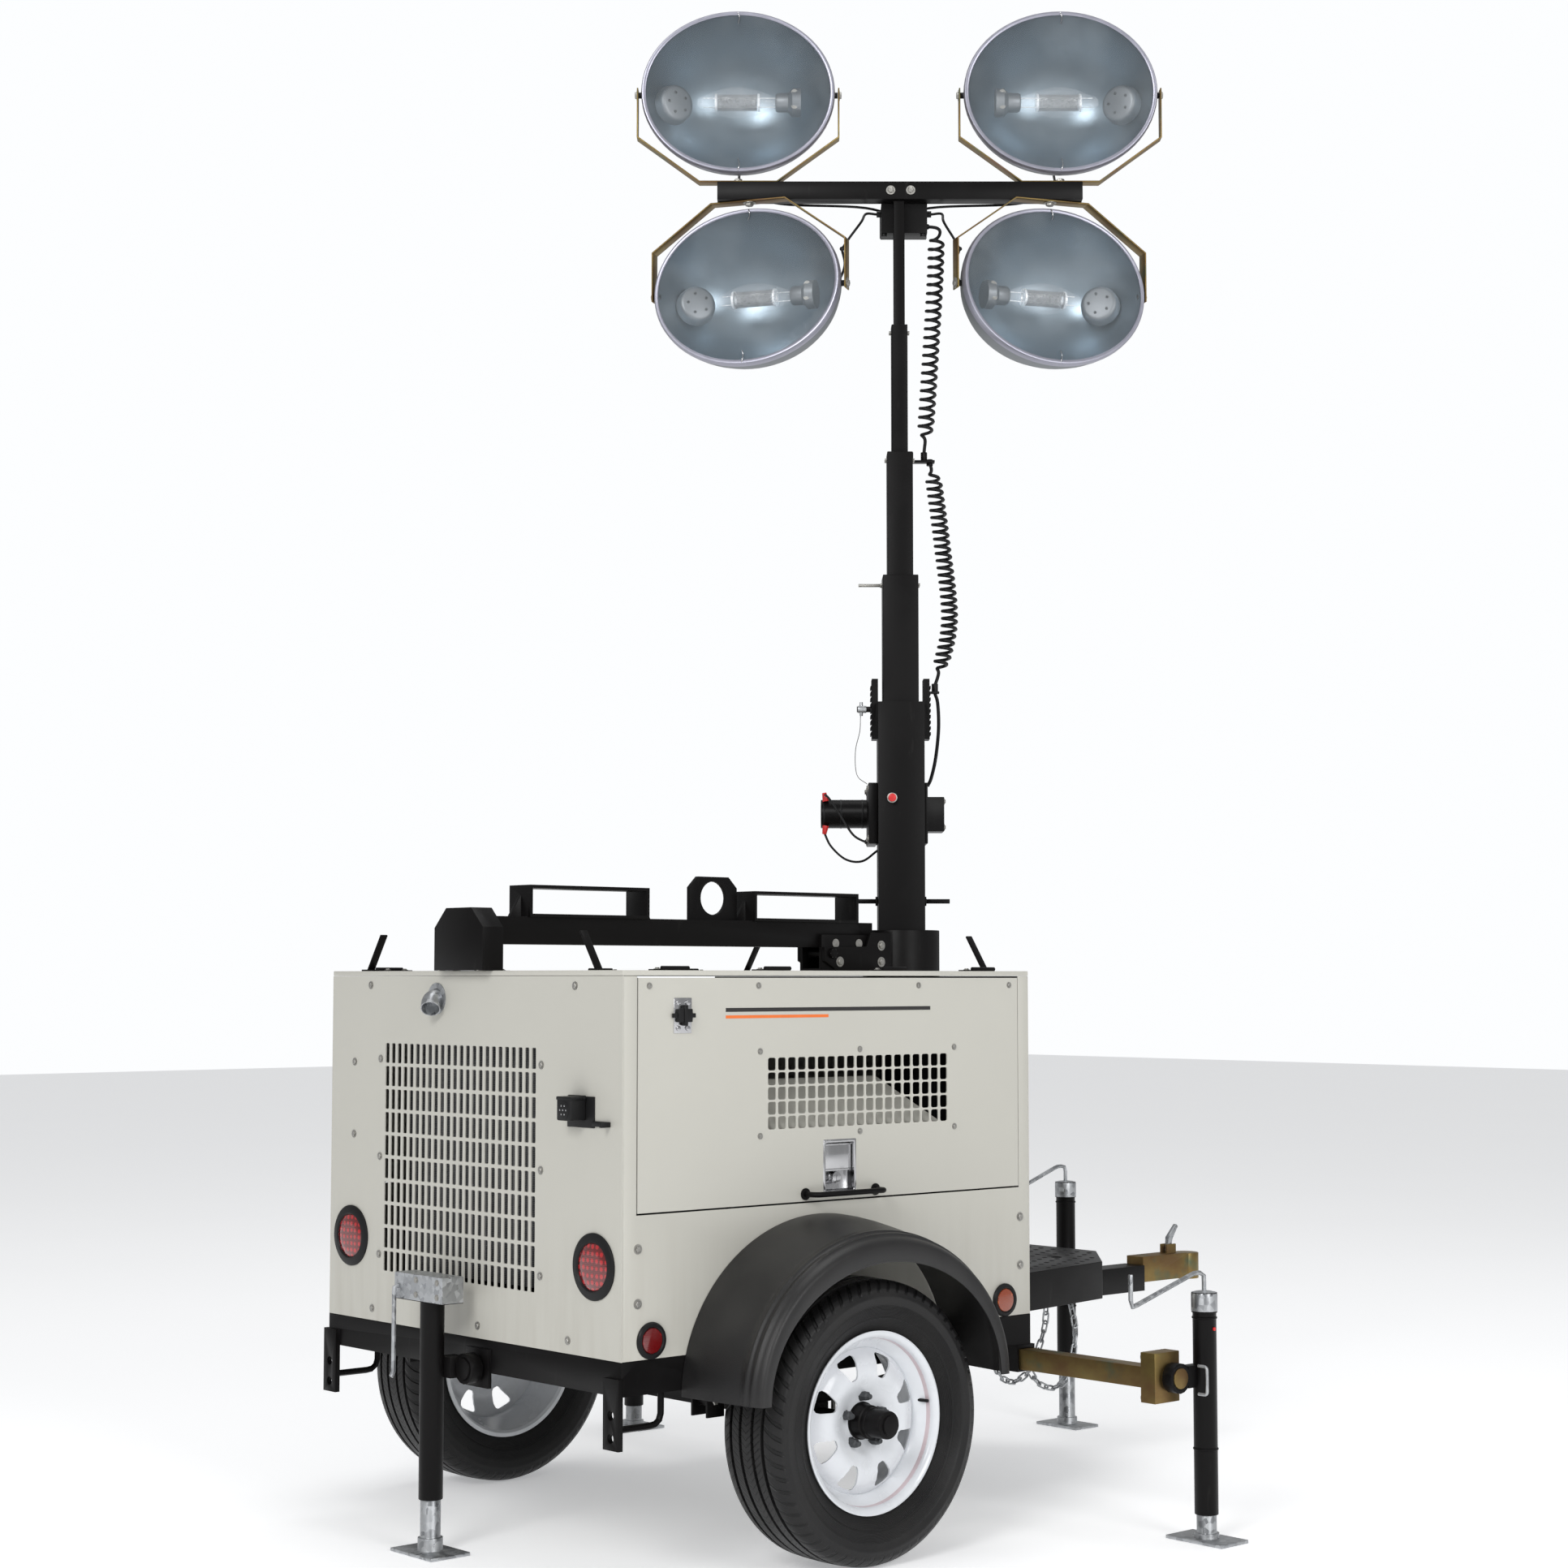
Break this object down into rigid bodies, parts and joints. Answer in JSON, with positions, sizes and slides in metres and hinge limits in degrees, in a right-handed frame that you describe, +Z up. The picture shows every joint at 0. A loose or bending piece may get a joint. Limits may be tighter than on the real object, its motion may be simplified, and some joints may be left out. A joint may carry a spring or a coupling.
{
  "type": "towable light tower with diesel generator",
  "caption": "Single-axle towable light tower: a sheet-steel diesel generator cabinet with a folding telescopic mast, four oval floodlights, outriggers and screw jacks.",
  "frame": {"origin": "middle of the footprint, on the ground under the wheels and the jack feet", "axes": "+X forward to the hitch, +Y to the left side, +Z up"},
  "size_m": [2.805, 2.364, 4.0443],
  "materials": {
    "cabinet_grey": "satin powder coat",
    "black_coat": "textured powder coat",
    "black_plastic": "moulded",
    "tyre_rubber": "tread rubber",
    "cord_rubber": "cable jacket",
    "rim_white": "gloss",
    "zinc_yellow": "yellow zinc plate",
    "galvanised": "galvanised",
    "chrome": "polished",
    "reflector": "satin",
    "cast_iron": "as cast",
    "radiator_core": "fins",
    "lens_red": "clear red",
    "lens_amber": "clear amber",
    "lamp_glass": "clear",
    "orange_paint": "decal",
    "red_cap": "moulded",
    "steel_bolt": "plated"
  },
  "bodies": {
    "trailer": {"chassis_frame": "black_coat", "tongue_beam": "black_coat", "tongue_deck": "black_coat", "coupler": "zinc_yellow", "axle_assembly": "black_coat", "fender_left": "black_plastic", "fender_right": "black_plastic", "cabinet_shell": "cabinet_grey", "rear_panel": "cabinet_grey", "roof_panel": "cabinet_grey", "lift_frame": "black_coat", "mast_bracket": "black_coat", "engine_block": "cast_iron", "alternator": "cast_iron", "radiator": "radiator_core", "fuel_tank": "black_plastic", "muffler": "galvanised", "control_panel": "black_plastic"},
    "coupler_latch": {"coupler_latch": "galvanised"},
    "wheel_left": {"wheel_rim_left": "rim_white", "tyre_left": "tyre_rubber"},
    "door_left": {"door_left": "cabinet_grey"},
    "latch_left": {"latch_left": "chrome"},
    "outrigger_left": {"outrigger_beam_left": "zinc_yellow"},
    "wheel_right": {"wheel_rim_right": "rim_white", "tyre_right": "tyre_rubber"},
    "door_right": {"door_right": "cabinet_grey"},
    "latch_right": {"latch_right": "chrome"},
    "outrigger_right": {"outrigger_beam_right": "zinc_yellow"},
    "left_jack": {"left_jack_tube": "black_coat"},
    "left_jack_ram": {"left_jack_ram": "galvanised"},
    "left_jack_crank": {"left_jack_crank": "galvanised"},
    "right_jack": {"right_jack_tube": "black_coat"},
    "right_jack_ram": {"right_jack_ram": "galvanised"},
    "right_jack_crank": {"right_jack_crank": "galvanised"},
    "rear_jack": {"rear_jack_tube": "black_coat"},
    "rear_jack_ram": {"rear_jack_ram": "galvanised"},
    "rear_jack_crank": {"rear_jack_crank": "galvanised"},
    "tongue_jack": {"tongue_jack_tube": "black_coat"},
    "tongue_jack_ram": {"tongue_jack_ram": "galvanised"},
    "tongue_jack_crank": {"tongue_jack_crank": "galvanised"},
    "mast_base": {"mast_sleeve": "black_coat"},
    "mast_1": {"mast_section_1": "black_coat", "winch_body": "black_coat"},
    "winch_drum": {"winch_drum": "galvanised"},
    "mast_2": {"mast_section_2": "black_coat"},
    "mast_3": {"mast_section_3": "black_coat", "coil_cord_lower": "cord_rubber"},
    "mast_4": {"mast_section_4": "black_coat"},
    "mast_5": {"mast_section_5": "black_coat", "light_bar": "black_coat", "coil_cord_upper": "cord_rubber"},
    "yoke_upper_left": {"yoke_upper_left": "zinc_yellow"},
    "lamp_upper_left": {"lamp_upper_left": "reflector"},
    "yoke_upper_right": {"yoke_upper_right": "zinc_yellow"},
    "lamp_upper_right": {"lamp_upper_right": "reflector"},
    "yoke_lower_left": {"yoke_lower_left": "zinc_yellow"},
    "lamp_lower_left": {"lamp_lower_left": "reflector"},
    "yoke_lower_right": {"yoke_lower_right": "zinc_yellow"},
    "lamp_lower_right": {"lamp_lower_right": "reflector"}
  },
  "joints": [
    {"name": "coupler_latch_hinge", "type": "hinge", "parent": "trailer", "child": "coupler_latch", "pos_m": [1.2825, 0, 0.531], "axis": [0, -1, 0], "range_deg": [0, 60]},
    {"name": "wheel_left_spin", "type": "hinge", "parent": "trailer", "child": "wheel_left", "pos_m": [-0.6785, 0.708, 0.325], "axis": [0, 1, 0], "continuous": true},
    {"name": "door_left_hinge", "type": "hinge", "parent": "trailer", "child": "door_left", "pos_m": [-0.6105, 0.597, 1.342], "axis": [1, 0, 0], "range_deg": [0, 80]},
    {"name": "latch_left_paddle", "type": "hinge", "parent": "door_left", "child": "latch_left", "pos_m": [-0.6115, 0.5875, 0.948], "axis": [1, 0, 0], "range_deg": [0, 35], "stiffness_Nm_per_rad": 0.4},
    {"name": "outrigger_left_slide", "type": "slide", "parent": "trailer", "child": "outrigger_left", "axis": [0, 1, 0], "range_m": [-0.4, 0]},
    {"name": "wheel_right_spin", "type": "hinge", "parent": "trailer", "child": "wheel_right", "pos_m": [-0.6785, -0.708, 0.325], "axis": [0, 1, 0], "continuous": true},
    {"name": "door_right_hinge", "type": "hinge", "parent": "trailer", "child": "door_right", "pos_m": [-0.6105, -0.597, 1.342], "axis": [-1, 0, 0], "range_deg": [0, 80]},
    {"name": "latch_right_paddle", "type": "hinge", "parent": "door_right", "child": "latch_right", "pos_m": [-0.6115, -0.5875, 0.948], "axis": [-1, 0, 0], "range_deg": [0, 35], "stiffness_Nm_per_rad": 0.4},
    {"name": "outrigger_right_slide", "type": "slide", "parent": "trailer", "child": "outrigger_right", "axis": [0, -1, 0], "range_m": [-0.4, 0]},
    {"name": "left_jack_swivel", "type": "hinge", "parent": "outrigger_left", "child": "left_jack", "pos_m": [0.0325, 1.097, 0.389], "axis": [0, 1, 0], "range_deg": [0, 90]},
    {"name": "left_jack_crank_turn", "type": "hinge", "parent": "left_jack", "child": "left_jack_crank", "pos_m": [0.1165, 1.097, 0.6], "axis": [0, 0, 1], "range_deg": [-4680, 28800]},
    {"name": "left_jack_ram_slide", "type": "slide", "parent": "left_jack", "child": "left_jack_ram", "axis": [0, 0, -1], "range_m": [-0.0391, 0.2401]},
    {"name": "right_jack_swivel", "type": "hinge", "parent": "outrigger_right", "child": "right_jack", "pos_m": [0.0325, -1.097, 0.389], "axis": [0, 1, 0], "range_deg": [0, 90]},
    {"name": "right_jack_crank_turn", "type": "hinge", "parent": "right_jack", "child": "right_jack_crank", "pos_m": [0.1165, -1.097, 0.6], "axis": [0, 0, 1], "range_deg": [-4680, 28800]},
    {"name": "right_jack_ram_slide", "type": "slide", "parent": "right_jack", "child": "right_jack_ram", "axis": [0, 0, -1], "range_m": [-0.0391, 0.2401]},
    {"name": "rear_jack_swivel", "type": "hinge", "parent": "trailer", "child": "rear_jack", "pos_m": [-1.3135, -0.06, 0.43], "axis": [-1, 0, 0], "range_deg": [0, 90]},
    {"name": "rear_jack_crank_turn", "type": "hinge", "parent": "rear_jack", "child": "rear_jack_crank", "pos_m": [-1.3825, 0.118, 0.613], "axis": [-1, 0, 0], "range_deg": [-9360, 29880]},
    {"name": "rear_jack_ram_slide", "type": "slide", "parent": "rear_jack", "child": "rear_jack_ram", "axis": [0, 0, -1], "range_m": [-0.0781, 0.2491]},
    {"name": "tongue_jack_swivel", "type": "hinge", "parent": "trailer", "child": "tongue_jack", "pos_m": [1.0135, 0.242, 0.465], "axis": [0, 1, 0], "range_deg": [0, 90]},
    {"name": "tongue_jack_crank_turn", "type": "hinge", "parent": "tongue_jack", "child": "tongue_jack_crank", "pos_m": [1.0975, 0.242, 0.74], "axis": [0, 0, 1], "range_deg": [-14400, 23760]},
    {"name": "tongue_jack_ram_slide", "type": "slide", "parent": "tongue_jack", "child": "tongue_jack_ram", "axis": [0, 0, -1], "range_m": [-0.1201, 0.1981]},
    {"name": "mast_fold", "type": "hinge", "parent": "trailer", "child": "mast_base", "pos_m": [-0.1345, 0, 1.405], "axis": [0, -1, 0], "range_deg": [0, 90]},
    {"name": "mast_rotate", "type": "hinge", "parent": "mast_base", "child": "mast_1", "pos_m": [0.1725, 0, 1.4], "axis": [0, 0, -1], "range_deg": [-311.72, 48.28]},
    {"name": "mast_extension", "type": "slide", "parent": "mast_1", "child": "mast_2", "axis": [0, 0, 1], "range_m": [-0.25, 1]},
    {"name": "mast_section_3_slide", "type": "slide", "parent": "mast_2", "child": "mast_3", "axis": [0, 0, 1], "range_m": [-0.2501, 1.0001], "deforming": ["coil_cord_lower"]},
    {"name": "mast_section_4_slide", "type": "slide", "parent": "mast_3", "child": "mast_4", "axis": [0, 0, 1], "range_m": [-0.2501, 1.0001]},
    {"name": "mast_section_5_slide", "type": "slide", "parent": "mast_4", "child": "mast_5", "axis": [0, 0, 1], "range_m": [-0.2501, 1.0001], "deforming": ["coil_cord_upper"]},
    {"name": "winch_drum_turn", "type": "hinge", "parent": "mast_1", "child": "winch_drum", "pos_m": [0.25569, 0.0933, 1.798], "axis": [0.7464, -0.6655, 0], "range_deg": [-463, 1849]},
    {"name": "upper_left_swivel", "type": "hinge", "parent": "mast_5", "child": "yoke_upper_left", "pos_m": [-0.16338, 0.29947, 3.5603], "axis": [0, 0, 1], "range_deg": [-60, 60]},
    {"name": "upper_left_tilt", "type": "hinge", "parent": "yoke_upper_left", "child": "lamp_upper_left", "pos_m": [-0.16338, 0.29947, 3.8133], "axis": [0.7464, -0.6655, 0], "range_deg": [-40, 40]},
    {"name": "upper_right_swivel", "type": "hinge", "parent": "mast_5", "child": "yoke_upper_right", "pos_m": [0.51062, -0.30147, 3.5603], "axis": [0, 0, 1], "range_deg": [-60, 60]},
    {"name": "upper_right_tilt", "type": "hinge", "parent": "yoke_upper_right", "child": "lamp_upper_right", "pos_m": [0.51062, -0.30147, 3.8133], "axis": [0.7464, -0.6655, 0], "range_deg": [-40, 40]},
    {"name": "lower_left_swivel", "type": "hinge", "parent": "mast_5", "child": "yoke_lower_left", "pos_m": [-0.1395, 0.27818, 3.5097], "axis": [0, 0, 1], "range_deg": [-60, 60]},
    {"name": "lower_left_tilt", "type": "hinge", "parent": "yoke_lower_left", "child": "lamp_lower_left", "pos_m": [-0.1395, 0.27818, 3.2567], "axis": [0.5192, -0.8546, 0], "range_deg": [-40, 40]},
    {"name": "lower_right_swivel", "type": "hinge", "parent": "mast_5", "child": "yoke_lower_right", "pos_m": [0.48898, -0.28217, 3.5097], "axis": [0, 0, 1], "range_deg": [-60, 60]},
    {"name": "lower_right_tilt", "type": "hinge", "parent": "yoke_lower_right", "child": "lamp_lower_right", "pos_m": [0.48898, -0.28217, 3.2567], "axis": [0.9084, -0.4182, 0], "range_deg": [-40, 40]}
  ],
  "couplings": [
    {"joint": "left_jack_ram_slide", "follows": "left_jack_crank_turn", "m_per_rad": 0.00047746},
    {"joint": "right_jack_ram_slide", "follows": "right_jack_crank_turn", "m_per_rad": 0.00047746},
    {"joint": "rear_jack_ram_slide", "follows": "rear_jack_crank_turn", "m_per_rad": 0.00047746},
    {"joint": "tongue_jack_ram_slide", "follows": "tongue_jack_crank_turn", "m_per_rad": 0.00047746},
    {"joint": "mast_section_3_slide", "follows": "mast_extension", "ratio": 1},
    {"joint": "mast_section_4_slide", "follows": "mast_extension", "ratio": 1},
    {"joint": "mast_section_5_slide", "follows": "mast_extension", "ratio": 1},
    {"joint": "winch_drum_turn", "follows": "mast_extension", "rad_per_m": 32.258}
  ]
}
